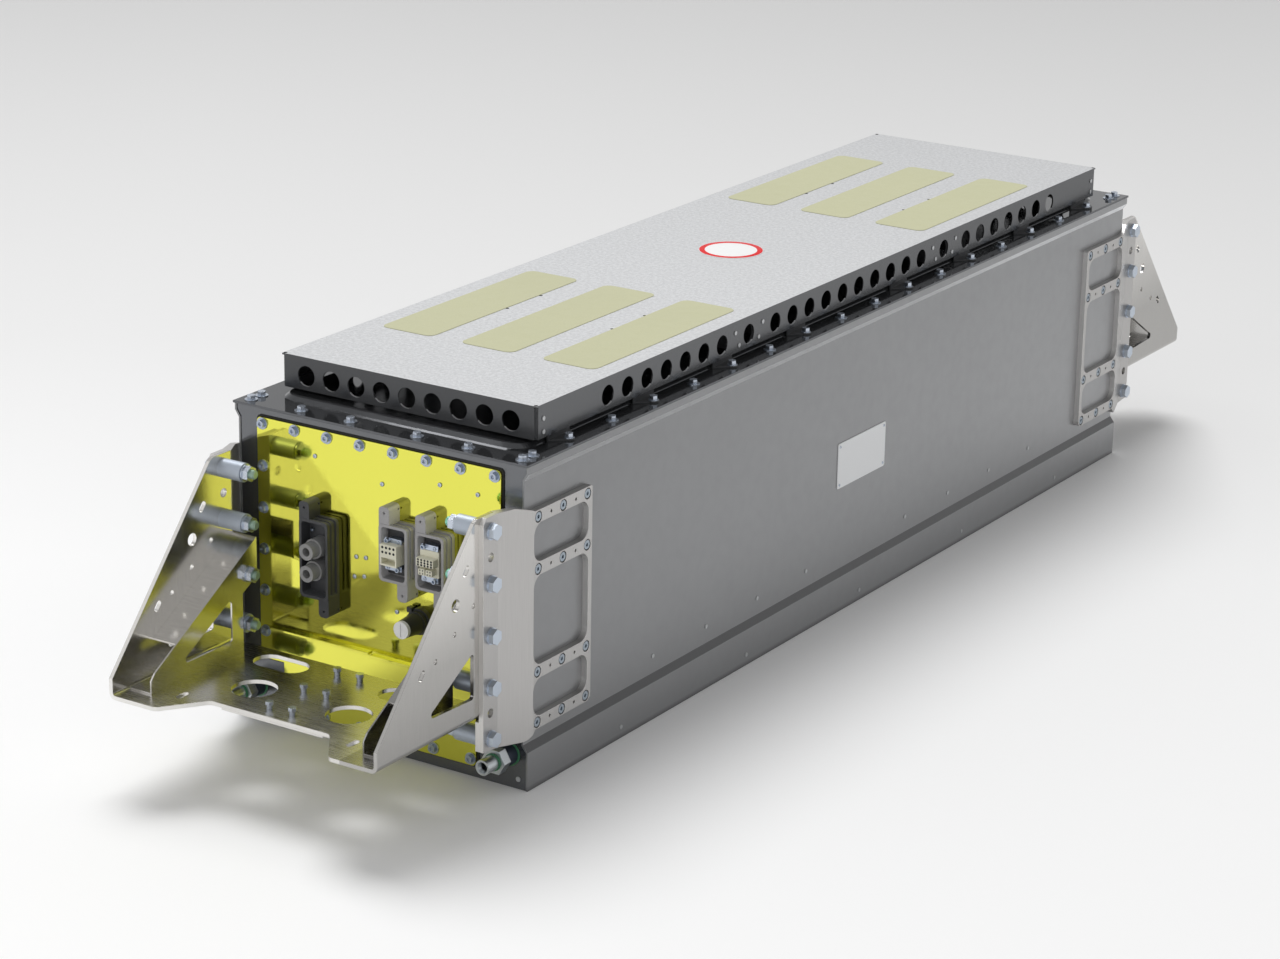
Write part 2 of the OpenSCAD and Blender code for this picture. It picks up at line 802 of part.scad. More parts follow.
module gusset() {
    dz = 190 + 0.6 * 328;
    ln = function(y) dz - 0.6 * y;
    difference() {
        union() {
            translate([0, -hl, 0]) sidewall(web_in, web_t)
                polygon([[-328, shelf_z], [-328, 184], [-318, ln(318)], [-50, ln(50)], [-50, 288], [-89, 266],
                    [-89, shelf_z]]);
            translate([0, -hl, 0]) sidewall(web_in, plate_in - web_in)
                polygon([[-262, ln(262)], [-50, ln(50)], [-50, ln(50) - 3.5], [-262, ln(262) - 3.5]]);
            translate([web_in, -hl - 328, shelf_z]) cube([plate_in - 5 - web_in, 239, 3]);
        }
        xrod(200, -hl - column_y, column_z[2], column_bolt_d + 2, 60);
        translate([100, -hl, 0]) rotate([90, 0, 90]) linear_extrude(121)
            tri_window([-124, 256], [-234, 195], [-124, 195]);
        translate([242, -hl - 165, 100]) rotate([0, 0, 90]) linear_extrude(100) stadium(70, 20);
    }
}

module gusset_front_right() {
    color("silver") gusset();
}

module gusset_front_left() {
    color("silver") flip(true, false) gusset();
}

module gusset_rear_right() {
    color("silver") flip(false, true) gusset();
}

module gusset_rear_left() {
    color("silver") flip(true, true) gusset();
}

module column_spots() {
    for (z = column_z) translate([0, -hl - column_y, z]) children();
}

module column_bolts() {
    tip = web_in - 9 - nut_h;
    color("lightsteelblue") four() column_spots() {
        translate([column_x + 3, 0, 0]) rotate([0, 90, 0])
            cylinder(d = 24 * 2 / sqrt(3), h = head_h, $fn = 6);
        translate([tip, 0, 0]) rotate([0, 90, 0]) {
            translate([0, 0, 2]) cylinder(d = column_bolt_d, h = column_x - tip + 2);
            cylinder(d1 = column_bolt_d - 4, d2 = column_bolt_d, h = 2.01);
        }
    }
}

module spacer_tubes() {
    color("silver") four() column_spots() difference() {
        xrod(tube_in, 0, 0, tube_d, plate_in - tube_in);
        xrod(tube_in - 1, 0, 0, column_bolt_d + 1, plate_in - tube_in + 2);
    }
}

module column_washers() {
    color("lightsteelblue") four()
        for (i = [0:4]) translate([0, -hl - column_y, column_z[i]]) {
            x = i == 2 ? web_in - 3 : tube_in - 3;
            translate([x, 0, 0]) rotate([0, 90, 0]) washer(29, column_bolt_d + 1, 3);
            translate([column_x, 0, 0]) rotate([0, 90, 0]) washer(29, column_bolt_d + 1, 3);
        }
}

module column_nuts() {
    color("lightsteelblue") four()
        for (i = [0:4]) translate([0, -hl - column_y, column_z[i]]) {
            x = (i == 2 ? web_in : tube_in) - 3 - nut_h;
            difference() {
                translate([x, 0, 0]) rotate([0, 90, 0]) cylinder(d = 24 * 2 / sqrt(3), h = nut_h, $fn = 6);
                xrod(x - 1, 0, 0, column_bolt_d + 0.6, nut_h + 2);
            }
        }
}

module under_plates() {
    color("gray") both_ends() difference() {
        translate([0, -hl, shelf_bot - under_t]) linear_extrude(under_t) {
            translate([-50, -286]) square([100, 226]);
            translate([-104, -286]) square([208, 34]);
        }
        both_sides() for (y = shelf_bolt_y)
            translate([shelf_bolt_x, -hl - y, 100]) cylinder(d = 9, h = 100);
    }
}

module shelf_bolts() {
    color("lightsteelblue") four() for (y = shelf_bolt_y) translate([shelf_bolt_x, -hl - y, shelf_bot - under_t]) {
        translate([0, 0, -9]) cylinder(d = 8, h = cradle_t + under_t + 12);
        translate([0, 0, cradle_t + under_t]) cylinder(d = 11, h = collar_h);
        translate([0, 0, cradle_t + under_t + collar_h]) cylinder(d = 13 * 2 / sqrt(3), h = 6, $fn = 6);
    }
}

module shelf_nuts() {
    color("lightsteelblue") four() for (y = shelf_bolt_y)
        translate([shelf_bolt_x, -hl - y, shelf_bot - under_t - 10]) difference() {
            cylinder(d = 11, h = 10);
            translate([0, 0, -1]) cylinder(d = 8.6, h = 12);
        }
}

// inside

module inner_frame() {
    px = main_x - side_t - 4;
    color("slategray") {
        for (y = hoop_y) {
            both_sides() translate([px - 12, y, pan_t]) cube([12, 20, ring_z - pan_t]);
            translate([-px, y, level_z[1] - 16]) cube([2 * px, 20, 16]);
        }
        both_sides() translate([px, hoop_y[0], 100]) cube([4, hoop_y[5] + 20 - hoop_y[0], 26]);
    }
}

module cold_plates() {
    color("silver") for (z = level_z)
        translate([-cold_w / 2, mod_y0 - 2, z]) cube([cold_w, mod_n * mod_pitch - 4, cold_t]);
}

module coolant_manifolds() {
    y = -inner_l + 10;
    color("silver") both_sides() {
        difference() {
            translate([fitting_x - 13, y, pan_t]) cube([26, 26, level_z[1] + cold_t]);
            rod(fitting_x, y + 20, fitting_z, spigot_bore, 40);
        }
        for (z = level_z)
            translate([fitting_x - 11, y + 26, z + 1]) cube([17, mod_y0 - 2 - y - 26, 10]);
    }
}

module modules_at() {
    for (s = [-1, 1], z = level_z, k = [0:mod_n - 1])
        translate([s * (5 + mod_w / 2), mod_y0 + k * mod_pitch + mod_l / 2, z + cold_t]) children();
}

module battery_modules() {
    color("darkslategray") modules_at() {
        translate([-mod_w / 2, -mod_l / 2, 0]) cube([mod_w, mod_l, mod_h - 12]);
        translate([-mod_w / 2 + 8, -mod_l / 2 + 8, mod_h - 13]) cube([mod_w - 16, mod_l - 16, 13]);
    }
}

module module_terminals() {
    color("goldenrod") modules_at() for (s = [-1, 1])
        translate([s * 90, 0, mod_h]) cylinder(d = 16, h = 8);
}

module busbars() {
    color("peru") for (s = [-1, 1], z = level_z) {
        cx = s * (5 + mod_w / 2);
        zz = z + cold_t + mod_h + 8;
        for (k = [0:mod_n - 2]) {
            x = cx + (k % 2 == 0 ? 90 : -90);
            translate([x - 11, mod_y0 + k * mod_pitch + mod_l / 2 - 11, zz]) cube([22, mod_pitch + 22, 3]);
        }
    }
}

module bay_plate() {
    color("gray") translate([-bay_w / 2, hoop_y[0] - 4, pan_t]) cube([bay_w, 4, ring_z - pan_t]);
}

module contactors() {
    y = hoop_y[0] - 4;
    color("black") {
        for (x = [-180, -70]) {
            translate([x - 40, y - 70, 330]) cube([80, 70, 90]);
            for (s = [-1, 1]) translate([x + s * 18, y - 35, 419]) cylinder(d = 12, h = 14);
        }
        rod(30, y, 375, 46, 80);
    }
}

module control_board() {
    y = hoop_y[0] - 4;
    color("seagreen") {
        translate([90, y - 12, 300]) cube([140, 2, 190]);
        for (x = [98, 222], z = [308, 482]) rod(x, y, z, 7, 10.5);
        translate([120, y - 22, 360]) cube([50, 11, 60]);
        translate([185, y - 18, 330]) cube([30, 7, 120]);
    }
}

floor_pan();
side_panel_right();
side_panel_left();
front_end_plate();
rear_end_plate();
top_frame();
lid_gasket();
lid();
lid_washers();
lid_bolts();
cover();
cover_pads();
cover_brackets();
cover_crossbars();
cover_rivets();
body_rivets();
panel_gasket();
connector_panel();
panel_washers();
panel_bolts();
power_housing();
power_contacts();
power_pins();
signal_housing_left();
signal_housing_right();
signal_insert_left();
signal_insert_right();
pressure_plug();
pressure_plug_cap();
fitting_sleeves();
coolant_fittings();
fitting_seals();
mount_plate_front_right();
mount_plate_front_left();
mount_plate_rear_right();
mount_plate_rear_left();
mount_plate_screws();
backing_bars();
cradle_front();
cradle_rear();
gusset_front_right();
gusset_front_left();
gusset_rear_right();
gusset_rear_left();
column_bolts();
spacer_tubes();
column_washers();
column_nuts();
under_plates();
shelf_bolts();
shelf_nuts();
inner_frame();
cold_plates();
coolant_manifolds();
battery_modules();
module_terminals();
busbars();
bay_plate();
contactors();
control_board();
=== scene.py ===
import math

import bmesh
import bpy
from mathutils import Matrix, Vector


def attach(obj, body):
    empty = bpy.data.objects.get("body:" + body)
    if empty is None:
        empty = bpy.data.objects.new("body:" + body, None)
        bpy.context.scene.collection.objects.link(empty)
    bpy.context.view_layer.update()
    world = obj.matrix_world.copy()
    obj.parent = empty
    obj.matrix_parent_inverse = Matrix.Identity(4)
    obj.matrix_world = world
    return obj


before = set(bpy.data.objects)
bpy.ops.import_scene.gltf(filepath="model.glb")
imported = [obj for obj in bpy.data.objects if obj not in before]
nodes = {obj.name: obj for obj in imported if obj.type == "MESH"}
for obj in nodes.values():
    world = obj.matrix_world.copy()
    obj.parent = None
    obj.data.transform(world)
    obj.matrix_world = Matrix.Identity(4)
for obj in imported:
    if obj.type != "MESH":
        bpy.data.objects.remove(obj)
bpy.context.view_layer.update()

# Places on the object, in metres. The connector end looks toward -Y.
HALF_LENGTH = 1.114
SIDE_X = 0.2945
COVER_TOP = 0.6405
POWER_X, POWER_Z = -0.110, 0.332
SIGNAL_X, SIGNAL_Z = (0.0557, 0.1303), 0.3755
SIGN_Y, SIGN_Z = 0.0057, 0.288
DISC_X, DISC_Y = -0.0024, 0.004
GAP = 0.0001  # an added piece stands this far off the face that carries it
OUTWARD = (0, -1, 0)  # away from the connector end

FLAT = (1, 1, 1)


# Materials

def grey(level):
    return (level, level, level)


def shade(color, k):
    return tuple(min(1.0, v * k) for v in color)


def set_stops(ramp, stops):
    """Fill a colour ramp node with (position, colour) pairs, from the first to the last."""
    elements = ramp.color_ramp.elements
    elements[0].position, elements[0].color = stops[0][0], (*stops[0][1], 1)
    elements[1].position, elements[1].color = stops[-1][0], (*stops[-1][1], 1)
    for position, color in stops[1:-1]:
        elements.new(position).color = (*color, 1)


class Mat:
    """A node material with a Principled shader and helpers for its procedural detail."""

    def __init__(self, name, color, rough, metal):
        self.material = bpy.data.materials.new(name)
        self.material.use_nodes = True
        self.tree = self.material.node_tree
        self.tree.nodes.clear()
        out = self.node("ShaderNodeOutputMaterial")
        self.shader = self.node("ShaderNodeBsdfPrincipled", Roughness=rough, Metallic=metal)
        self.link(self.shader.outputs[0], out.inputs[0])
        self.socket("Base Color").default_value = (*color, 1.0)
        self.coord = self.node("ShaderNodeTexCoord")
        self.normal = None

    def node(self, kind, **inputs):
        n = self.tree.nodes.new(kind)
        for name, value in inputs.items():
            n.inputs[name].default_value = value
        return n

    def link(self, a, b):
        self.tree.links.new(a, b)

    def socket(self, name):
        return self.shader.inputs[name]

    def source(self, name):
        """What feeds a socket of the shader now."""
        return self.socket(name).links[0].from_socket

    def feed(self, value, socket):
        """Link an output to a socket, or set a number or colour on it directly."""
        if hasattr(value, "is_output"):
            self.link(value, socket)
        else:
            socket.default_value = (*value, 1) if isinstance(value, tuple) else value

    def noise(self, scale, detail=3.0, stretch=FLAT, rough=0.55):
        n = self.node("ShaderNodeTexNoise", Scale=scale, Detail=detail, Roughness=rough)
        mapping = self.node("ShaderNodeMapping", Scale=stretch)
        self.link(self.coord.outputs["Object"], mapping.inputs[0])
        self.link(mapping.outputs[0], n.inputs["Vector"])
        return n.outputs["Fac"]

    def ramp(self, fac, stops):
        r = self.node("ShaderNodeValToRGB")
        set_stops(r, stops)
        self.link(fac, r.inputs[0])
        return r.outputs[0]

    def remap(self, fac, low, high, start=0.0, end=1.0):
        """Read fac from start to end as a value from low to high."""
        r = self.node("ShaderNodeMapRange")
        for name, value in (("From Min", start), ("From Max", end), ("To Min", low), ("To Max", high)):
            r.inputs[name].default_value = value
        self.link(fac, r.inputs[0])
        return r.outputs[0]

    def math(self, operation, *values):
        n = self.node("ShaderNodeMath")
        n.operation = operation
        for i, value in enumerate(values):
            self.feed(value, n.inputs[i])
        return n.outputs[0]

    def mix(self, fac, a, b):
        n = self.node("ShaderNodeMix")
        n.data_type = "RGBA"
        self.link(fac, n.inputs[0])
        self.feed(a, n.inputs[6])
        self.feed(b, n.inputs[7])
        return n.outputs[2]

    def xyz(self):
        s = self.node("ShaderNodeSeparateXYZ")
        self.link(self.coord.outputs["Object"], s.inputs[0])
        return s.outputs

    def facing(self):
        """The face's own direction as three outputs."""
        s = self.node("ShaderNodeSeparateXYZ")
        self.link(self.node("ShaderNodeNewGeometry").outputs["True Normal"], s.inputs[0])
        return s.outputs

    def along(self, place, way):
        """How far a place lies along a level direction."""
        x, y = (self.math("MULTIPLY", place[i], way[i]) for i in (0, 1))
        return self.math("ADD", x, y)

    def set_color(self, out):
        self.link(out, self.socket("Base Color"))

    def scale_color(self, factor):
        """Multiply whatever colour is set by a factor that varies over the surface."""
        n = self.node("ShaderNodeVectorMath")
        n.operation = "SCALE"
        self.link(self.source("Base Color"), n.inputs[0])
        self.link(factor, n.inputs["Scale"])
        self.set_color(n.outputs[0])

    def set_rough(self, fac, low, high):
        self.link(self.remap(fac, low, high, 0.3, 0.7), self.socket("Roughness"))

    def bump(self, height, strength, distance):
        b = self.node("ShaderNodeBump", Strength=strength, Distance=distance)
        self.link(height, b.inputs["Height"])
        if self.normal is not None:
            self.link(self.normal, b.inputs["Normal"])
        self.normal = b.outputs[0]
        self.link(self.normal, self.socket("Normal"))

    def edge(self, radius):
        b = self.node("ShaderNodeBevel", Radius=radius)
        b.samples = 4
        self.normal = b.outputs[0]
        self.link(self.normal, self.socket("Normal"))


def paint(name, color, rough, metal=0.0, speck=0.06, grain=1500, peel=0.05):
    """Powder coat or paint: fine speckle, slow tone drift and a slight orange peel."""
    m = Mat(name, color, rough, metal)
    m.edge(0.0012)
    fine = m.noise(grain, 2.0)
    slow = m.noise(3.0, 2.0)
    base = m.mix(m.remap(fine, 0, 1, 0.3, 0.7), shade(color, 1 - speck), shade(color, 1 + speck))
    m.set_color(m.mix(m.remap(slow, 0.0, 0.5, 0.3, 0.7), base, shade(color, 0.95)))
    m.set_rough(m.noise(40, 3.0), max(0.03, rough - 0.05), rough + 0.06)
    m.bump(m.noise(grain * 0.5, 3.0), peel, 0.0004)
    return m


def steel(name, color, rough=0.3, stretch=FLAT, lines=0.12, metal=1.0, edge=0.0008, tone=0.1):
    """Bare or plated metal: fine lines along one way, smudges and soft wear."""
    m = Mat(name, color, rough, metal)
    m.edge(edge)
    brush = m.noise(900, 4.0, stretch)
    smudge = m.noise(5, 3.0)
    base = m.mix(m.remap(brush, 0, 1, 0.3, 0.7), shade(color, 1 - tone), shade(color, 1 + tone * 0.6))
    m.set_color(m.mix(m.remap(smudge, 0.0, 0.15, 0.35, 0.7), base, shade(color, 0.94)))
    worn = m.remap(smudge, rough - 0.02, rough + 0.03, 0.3, 0.7)
    m.link(m.math("ADD", m.remap(brush, -0.04, 0.05, 0.3, 0.7), worn), m.socket("Roughness"))
    m.bump(brush, lines, 0.0003)
    return m


def plastic(name, color, rough, edge=0.0007):
    """Moulded plastic: a fine spark-eroded grain and faint flow marks."""
    m = Mat(name, color, rough, 0.0)
    m.edge(edge)
    fine = m.noise(900, 3.0)
    flow = m.noise(25, 3.0, (1, 0.4, 1))
    m.set_color(m.mix(m.remap(flow, 0, 1, 0.3, 0.7), shade(color, 0.9), shade(color, 1.08)))
    m.set_rough(fine, max(0.05, rough - 0.06), rough + 0.08)
    m.bump(fine, 0.12, 0.0004)
    return m


def rubber(name, color, rough=0.7):
    """Dull rubber with a little dust."""
    m = Mat(name, color, rough, 0.0)
    fine = m.noise(1400, 4.0)
    dust = m.noise(20, 4.0)
    m.set_color(m.mix(m.remap(dust, 0, 0.6, 0.4, 0.75), color, shade(color, 1.8)))
    m.set_rough(fine, rough - 0.08, rough + 0.1)
    m.bump(fine, 0.2, 0.0005)
    return m


def cast(name, color, rough, painted_light_axis, painted_light_gain):
    """A cast connector housing, with painted light: the faces that look along one axis are painted lighter.
    """
    m = paint(name, color, rough, 0.1, speck=0.08, grain=900, peel=0.14)
    m.scale_color(m.remap(m.facing()[painted_light_axis], 1.0, painted_light_gain, 0.3, 0.8))
    return m


def side_sheet():
    """Satin sheet with painted light and shade: lighter to the rear, low down and on the upper joggle;
    darker on the lower joggle and along the bottom edge.
    """
    m = paint("side_sheet", (0.272, 0.275, 0.281), 0.34, 0.8, speck=0.02, grain=2200, peel=0.01)
    # painted light: under lightens the faces that look down (the upper joggle), over darkens the faces that
    # look up (the lower joggle)
    under, over = grey(2.4), grey(0.42)
    plain = grey(1)
    place = m.xyz()
    # painted light: lighter toward the rear and low down
    rearward_painted_light = m.remap(place[1], 0.96, 1.24, -HALF_LENGTH, HALF_LENGTH)
    low_painted_light = m.remap(place[2], 1.14, 1.0, 0.05, 0.5)
    joggle_painted_light = m.ramp(m.remap(m.facing()[2], 0, 1, -1, 1),
                   [(0.0, plain), (0.12, plain), (0.16, under), (0.3, under), (0.34, plain),
                    (0.66, plain), (0.7, over), (0.84, over), (0.88, plain), (1.0, plain)])
    # painted shade along the bottom edge
    bottom_edge_painted_shade = m.remap(place[2], 0.6, 1.0, 0.002, 0.01)
    m.scale_color(m.math("MULTIPLY", m.math("MULTIPLY", rearward_painted_light, low_painted_light), m.math("MULTIPLY", joggle_painted_light, bottom_edge_painted_shade)))
    return m


def cover_sheet():
    """The cover split by the face's own direction into a top in painted light and a skirt in painted shade,
    the skirt's two ends painted darker still.
    """
    # top and side hold the top's colour, in painted light, and the skirt's, in painted shade
    top, side = (0.605, 0.613, 0.625), (0.125, 0.128, 0.134)
    m = Mat("cover_sheet", top, 0.45, 0.0)
    m.edge(0.0012)
    way = m.facing()
    is_top = m.math("GREATER_THAN", way[2], 0.7)
    ends_painted_shade_mask = m.math("GREATER_THAN", m.math("ABSOLUTE", way[1]), 0.7)
    fine = m.noise(420, 5.0, rough=0.75)
    crisp = m.noise(1600, 3.0)
    mottle = m.noise(150, 3.0, rough=0.75)
    light = m.ramp(fine, [(0.36, shade(top, 0.87)), (0.5, top), (0.64, shade(top, 1.1))])
    light = m.mix(m.remap(mottle, 0.0, 0.8, 0.45, 0.66), light, shade(top, 0.82))
    light = m.mix(m.remap(mottle, 0.8, 0.0, 0.34, 0.5), light, shade(top, 1.14))
    dark = m.mix(m.remap(crisp, 0, 1, 0.3, 0.7), shade(side, 0.92), shade(side, 1.08))
    # painted shade: the skirt's two ends at 0.6 of its sides
    dark = m.mix(ends_painted_shade_mask, dark, shade(side, 0.6))
    m.set_color(m.mix(is_top, dark, light))
    # painted shade: darker toward the rear
    m.scale_color(m.remap(m.xyz()[1], 1.02, 0.9, -0.3, 1.03))
    m.link(m.remap(is_top, 0.7, 0.0), m.socket("Metallic"))
    m.link(m.remap(is_top, 0.22, 0.5), m.socket("Roughness"))
    m.bump(fine, 0.12, 0.0004)
    return m


def contact_block():
    """Cream contact blocks, painted near black as painted shade where they sit deep in the housing."""
    painted_shade_depth = 0.0145
    m = plastic("cream_insert", (0.76, 0.74, 0.6), 0.5)
    deep_painted_shade = m.math("GREATER_THAN", m.xyz()[1], -HALF_LENGTH - painted_shade_depth)
    # painted shade: near black deep in the housing
    m.set_color(m.mix(deep_painted_shade, m.source("Base Color"), (0.04, 0.04, 0.042)))
    return m


def cradle_steel():
    """Brushed sheet with painted light: right webs painted darker downward, left ones painted lighter, the
    shelf duller and painted darker.
    """
    m = steel("cradle_steel", (0.7, 0.685, 0.66), 0.17, (0.03, 1, 0.03), lines=0.05, edge=0.001, tone=0.07)
    place = m.xyz()
    # painted light: the right webs darker low down, the left ones lighter outward
    is_right = m.math("GREATER_THAN", place[0], 0.2)
    right = m.remap(place[2], 0.64, 1.05, 0.28, 0.46)
    left = m.remap(place[0], 1.2, 1.0, -0.28, -0.1)
    m.scale_color(m.math("ADD", m.math("MULTIPLY", is_right, right),
                         m.math("MULTIPLY", m.math("SUBTRACT", 1.0, is_right), left)))
    # painted shade on level faces, which are also made rougher
    is_level = m.math("GREATER_THAN", m.facing()[2], 0.9)
    m.scale_color(m.remap(is_level, 1.0, 0.72))
    duller = m.math("ADD", m.source("Roughness"), m.math("MULTIPLY", is_level, 0.08))
    m.link(duller, m.socket("Roughness"))
    return m


def plate_steel():
    """Milled plate: brushed faces, and painted light on the walls across the length."""
    m = steel("plate_brushed", (0.51, 0.5, 0.49), 0.36, (1, 1, 0.02), lines=0.1, metal=0.85, edge=0.001,
              tone=0.07)
    # painted light: walls across the length up to 1.5 times as light
    m.scale_color(m.remap(m.math("ABSOLUTE", m.facing()[1]), 1.0, 1.5, 0.4, 0.8))
    return m


def column_steel():
    """Zinc bolts whose free thread ends carry a mint-green locking dip."""
    dip_end, thread_end = 0.2075, 0.265
    thread_pitch = 0.0025
    band = 0.314  # the wave texture's band width at scale 1
    m = steel("column_bolt_zinc", (0.55, 0.61, 0.69), 0.3, tone=0.04, lines=0.03)
    x = m.xyz()[0]
    outward = m.math("ABSOLUTE", x)
    is_dipped = m.math("LESS_THAN", outward, dip_end)
    dip = m.mix(m.math("GREATER_THAN", x, 0.0), (0.36, 0.5, 0.4), (0.3, 0.72, 0.56))
    m.set_color(m.mix(is_dipped, m.source("Base Color"), dip))
    m.link(m.math("SUBTRACT", 1.0, m.math("MULTIPLY", is_dipped, 0.45)), m.socket("Metallic"))
    thread = m.node("ShaderNodeTexWave", Scale=band / thread_pitch)
    thread.wave_type = "BANDS"
    thread.bands_direction = "X"
    m.link(m.coord.outputs["Object"], thread.inputs["Vector"])
    is_threaded = m.math("LESS_THAN", outward, thread_end)
    m.bump(m.math("MULTIPLY", thread.outputs["Fac"], is_threaded), 0.5, 0.001)
    return m


def disc_print():
    """A white disc with a plain red rim."""
    inner, outer = 0.0498, 0.0604
    m = plastic("disc_red_white", grey(0.8), 0.4)
    place = m.xyz()
    across, along = (m.math("POWER", m.math("SUBTRACT", place[i], centre), 2.0)
                     for i, centre in enumerate((DISC_X, DISC_Y)))
    radius = m.math("SQRT", m.math("ADD", across, along))
    is_rim = m.math("MULTIPLY", m.math("GREATER_THAN", radius, inner), m.math("LESS_THAN", radius, outer))
    m.set_color(m.mix(is_rim, grey(0.92), (0.78, 0.0, 0.004)))
    m.socket("Specular IOR Level").default_value = 0.15
    return m


mats = {
    "side_sheet": side_sheet(),
    "cover": cover_sheet(),
    "column": column_steel(),
    "end_plate": paint("end_plate_grey", (0.165, 0.17, 0.18), 0.2, 0.85, speck=0.04, grain=2000, peel=0.02),
    "underbody": paint("underbody_grey", (0.13, 0.135, 0.14), 0.5, 0.3),
    "lid": paint("lid_dark", (0.125, 0.129, 0.137), 0.05, 0.8, speck=0.02, peel=0.004),
    "ring": paint("frame_dark", (0.2, 0.208, 0.222), 0.2, 0.8, speck=0.04, peel=0.02),
    # black rubber for the gaskets, also used for black spots of painted shade that stand for holes
    "black_rubber": rubber("black_rubber", grey(0.012)),
    "zinc": steel("zinc_plate", (0.55, 0.6, 0.68), 0.26, tone=0.04, lines=0.03),
    "panel_zinc": steel("panel_zinc", (0.42, 0.47, 0.56), 0.28, tone=0.04, lines=0.03),
    "screw": steel("screw_zinc", (0.36, 0.41, 0.46), 0.36, tone=0.05, lines=0.04),
    "clamp": steel("clamp_zinc", (0.5, 0.56, 0.66), 0.3, tone=0.05, lines=0.05),
    "olive": paint("olive_pad", (0.53, 0.53, 0.325), 0.55, speck=0.05, grain=500, peel=0.04),
    "bracket": paint("bracket_dark", (0.06, 0.062, 0.066), 0.35, 0.3),
    "rivet": steel("rivet_silver", (0.55, 0.56, 0.57), 0.4, tone=0.05, lines=0.05),
    "yellow": paint("panel_yellow", (0.8, 0.785, 0.12), 0.06, 1.0, speck=0.015, grain=2200, peel=0.008),
    # painted light: the power housing's faces that look up are painted up to twice as light
    "graphite": cast("graphite_cast", (0.058, 0.06, 0.066), 0.4, 2, 2.0),
    "contact": plastic("contact_grey", grey(0.3), 0.38, edge=0.001),
    "brass": steel("contact_brass", (0.78, 0.56, 0.24), 0.25, lines=0.05),
    # painted light: the signal housings' faces that look along +X are painted up to 2.2 times as light
    "warm_grey": cast("warm_grey_cast", (0.36, 0.355, 0.36), 0.42, 0, 2.2),
    "cream": contact_block(),
    "black_plastic": plastic("black_plastic", (0.03, 0.031, 0.033), 0.4),
    "white_plastic": plastic("white_plastic", grey(0.95), 0.4),
    "sleeve": paint("sleeve_blue", (0.03, 0.04, 0.06), 0.35, 0.3),
    "fitting": steel("fitting_steel", (0.55, 0.58, 0.6), 0.3, (1, 0.1, 1), lines=0.06),
    "seal": plastic("seal_green", (0.05, 0.2, 0.1), 0.4),
    "plate": plate_steel(),
    "cradle": cradle_steel(),
    "tube": steel("tube_steel", (0.44, 0.49, 0.56), 0.45, (0.02, 1, 1), lines=0.03, metal=0.55, tone=0.04),
    "aluminium": steel("inner_aluminium", (0.6, 0.61, 0.62), 0.4),
    "module": plastic("module_black", (0.05, 0.05, 0.055), 0.5),
    "copper": steel("busbar_copper", (0.75, 0.42, 0.26), 0.3),
    "board": plastic("board_green", (0.03, 0.2, 0.09), 0.35),
    "sign": paint("plate_pale", (0.78, 0.79, 0.8), 0.45, 0.0, speck=0.01, peel=0.0),
    "disc": disc_print(),
}

# The nodes that each material dresses
DRESS = {
    "underbody": ("floor_pan", "inner_frame", "backing_bars"),
    "side_sheet": ("side_panel_right", "side_panel_left"),
    "end_plate": ("front_end_plate", "rear_end_plate"),
    "ring": ("top_frame",),
    "lid": ("lid",),
    "black_rubber": ("lid_gasket", "panel_gasket"),
    "zinc": ("lid_washers", "lid_bolts", "column_washers", "column_nuts", "shelf_bolts", "shelf_nuts"),
    "panel_zinc": ("panel_washers", "panel_bolts"),
    "screw": ("mount_plate_screws",),
    "column": ("column_bolts",),
    "cover": ("cover",),
    "olive": ("cover_pads",),
    "bracket": ("cover_brackets", "cover_crossbars"),
    "rivet": ("cover_rivets", "body_rivets"),
    "yellow": ("connector_panel",),
    "graphite": ("power_housing",),
    "contact": ("power_contacts",),
    "brass": ("power_pins", "module_terminals"),
    "warm_grey": ("signal_housing_left", "signal_housing_right"),
    "cream": ("signal_insert_left", "signal_insert_right"),
    "black_plastic": ("pressure_plug", "contactors"),
    "white_plastic": ("pressure_plug_cap",),
    "sleeve": ("fitting_sleeves",),
    "fitting": ("coolant_fittings",),
    "seal": ("fitting_seals",),
    "plate": ("mount_plate_front_right", "mount_plate_front_left", "mount_plate_rear_right",
              "mount_plate_rear_left"),
    "cradle": ("cradle_front", "cradle_rear", "gusset_front_right", "gusset_front_left",
               "gusset_rear_right", "gusset_rear_left", "under_plates"),
    "tube": ("spacer_tubes",),
    "aluminium": ("cold_plates", "coolant_manifolds", "bay_plate"),
    "module": ("battery_modules",),
    "copper": ("busbars",),
    "board": ("control_board",),
}
use = {name: key for key, names in DRESS.items() for name in names}
for name, o in nodes.items():
    o.data.materials.clear()
    o.data.materials.append(mats[use[name]].material)


# Added pieces

def piece(name, bm, key):
    """Turn a finished bmesh into a smooth-shaded piece that rides on the body."""
    me = bpy.data.meshes.new(name)
    bm.normal_update()
    bm.to_mesh(me)
    bm.free()
    me.materials.append(mats[key].material)
    o = bpy.data.objects.new(name, me)
    bpy.context.scene.collection.objects.link(o)
    for p in me.polygons:
        p.use_smooth = True
    me.set_sharp_from_angle(angle=math.radians(35))
    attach(o, "root")


def join_rings(bm, p, q):
    for i in range(len(p)):
        j = (i + 1) % len(p)
        bm.faces.new((p[i], p[j], q[j], q[i]))


